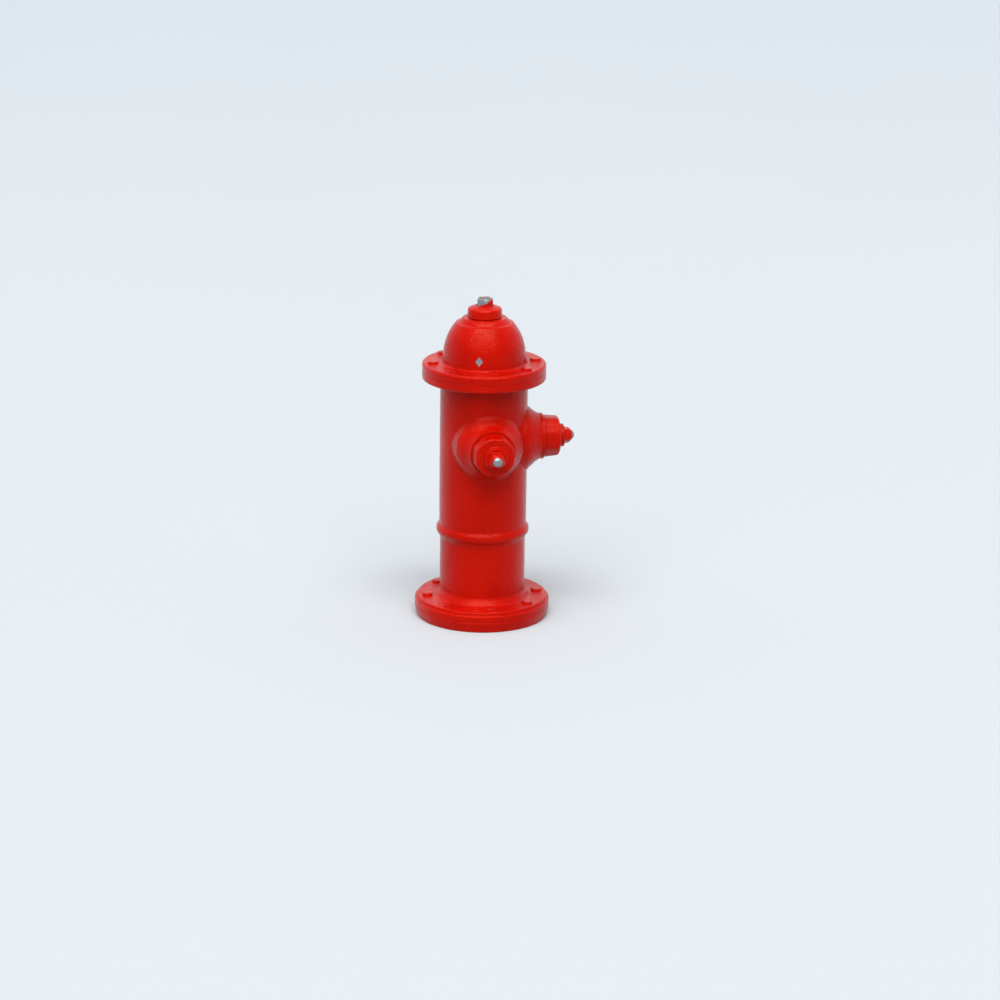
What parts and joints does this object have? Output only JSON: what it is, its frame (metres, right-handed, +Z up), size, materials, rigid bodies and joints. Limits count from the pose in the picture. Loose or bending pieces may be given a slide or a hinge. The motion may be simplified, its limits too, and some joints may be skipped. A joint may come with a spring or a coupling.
{
  "type": "fire hydrant",
  "caption": "Red dry-barrel fire hydrant with domed bonnet, capped hose outlets, turning operating nut and the stem and main valve that it drives.",
  "frame": {"origin": "centre of the foot's underside, on the axis of the barrel", "axes": "+Z up along the barrel; the front outlet points along -Y, the side outlet along +X, the rear outlet along +Y"},
  "size_m": [0.3719, 0.427, 0.762],
  "materials": {
    "red_enamel": "thick glossy red enamel on cast iron",
    "painted_nut": "red enamel worn to bare metal on top",
    "bronze": "machined bronze",
    "stem_steel": "turned steel, lightly oiled",
    "stainless": "bright stainless",
    "coated_iron": "black coated iron",
    "valve_rubber": "moulded valve rubber",
    "gasket_rubber": "sheet rubber",
    "seal_rubber": "smooth black nitrile",
    "washer_plastic": "cream acetal"
  },
  "bodies": {
    "hydrant": {"barrel": "red_enamel", "bonnet": "red_enamel", "bonnet_bolts": "red_enamel", "bonnet_gasket": "gasket_rubber", "ground_flange": "red_enamel", "foot_bolts": "red_enamel", "foot_gasket": "gasket_rubber", "hold_down_nut": "bronze", "hold_down_seal": "seal_rubber", "nut_shaft_seal": "seal_rubber", "lower_thrust_washer": "bronze", "upper_thrust_washer": "washer_plastic", "packing_plate": "bronze", "packing_plate_screws": "stainless", "packing_plate_seal": "seal_rubber", "stem_seals": "seal_rubber", "seat_ring": "bronze", "seat_ring_seals": "seal_rubber", "nozzle_lock_screws": "stainless", "front_nozzle": "bronze", "side_nozzle": "bronze", "rear_nozzle": "bronze", "front_nozzle_seal": "seal_rubber", "side_nozzle_seal": "seal_rubber", "rear_nozzle_seal": "seal_rubber"},
    "operating_nut": {"operating_nut": "painted_nut", "weather_shield": "red_enamel"},
    "stem": {"upper_stem": "stem_steel", "stem_sleeve": "bronze", "travel_stop_nut": "stem_steel", "stem_coupling": "stem_steel", "coupling_pins": "stainless", "coupling_cotters": "stainless", "lower_stem": "stem_steel", "upper_valve_plate": "bronze", "drain_facings": "washer_plastic", "main_valve": "valve_rubber", "lower_valve_plate": "coated_iron", "lower_valve_nut": "bronze"},
    "front_gasket": {"front_cap_gasket": "gasket_rubber"},
    "front_cap": {"front_cap": "red_enamel"},
    "side_gasket": {"side_cap_gasket": "gasket_rubber"},
    "side_cap": {"side_cap": "red_enamel"},
    "rear_gasket": {"rear_cap_gasket": "gasket_rubber"},
    "rear_cap": {"rear_cap": "red_enamel"}
  },
  "joints": [
    {"name": "op_nut_turn", "type": "hinge", "parent": "hydrant", "child": "operating_nut", "pos_m": [0, 0, 0.74], "axis": [0, 0, 1], "range_deg": [0, 2160]},
    {"name": "stem_slide", "type": "slide", "parent": "hydrant", "child": "stem", "axis": [0, 0, -1], "range_m": [0, 0.0381]},
    {"name": "front_cap_travel", "type": "slide", "parent": "hydrant", "child": "front_gasket", "axis": [0, -1, 0], "range_m": [0, 0.0238]},
    {"name": "front_cap_turn", "type": "hinge", "parent": "front_gasket", "child": "front_cap", "pos_m": [0, -0.17, 0.428], "axis": [0, -1, 0], "range_deg": [0, 2520]},
    {"name": "side_cap_travel", "type": "slide", "parent": "hydrant", "child": "side_gasket", "axis": [1, 0, 0], "range_m": [0, 0.0238]},
    {"name": "side_cap_turn", "type": "hinge", "parent": "side_gasket", "child": "side_cap", "pos_m": [0.17, 0, 0.428], "axis": [1, 0, 0], "range_deg": [0, 2520]},
    {"name": "rear_cap_travel", "type": "slide", "parent": "hydrant", "child": "rear_gasket", "axis": [0, 1, 0], "range_m": [0, 0.0238]},
    {"name": "rear_cap_turn", "type": "hinge", "parent": "rear_gasket", "child": "rear_cap", "pos_m": [0, 0.17, 0.428], "axis": [0, 1, 0], "range_deg": [0, 2520]}
  ],
  "couplings": [
    {"joint": "op_nut_turn", "follows": "stem_slide", "rad_per_m": 989.48},
    {"joint": "front_cap_travel", "follows": "front_cap_turn", "m_per_rad": 0.00053901},
    {"joint": "side_cap_travel", "follows": "side_cap_turn", "m_per_rad": 0.00053901},
    {"joint": "rear_cap_travel", "follows": "rear_cap_turn", "m_per_rad": 0.00053901}
  ]
}
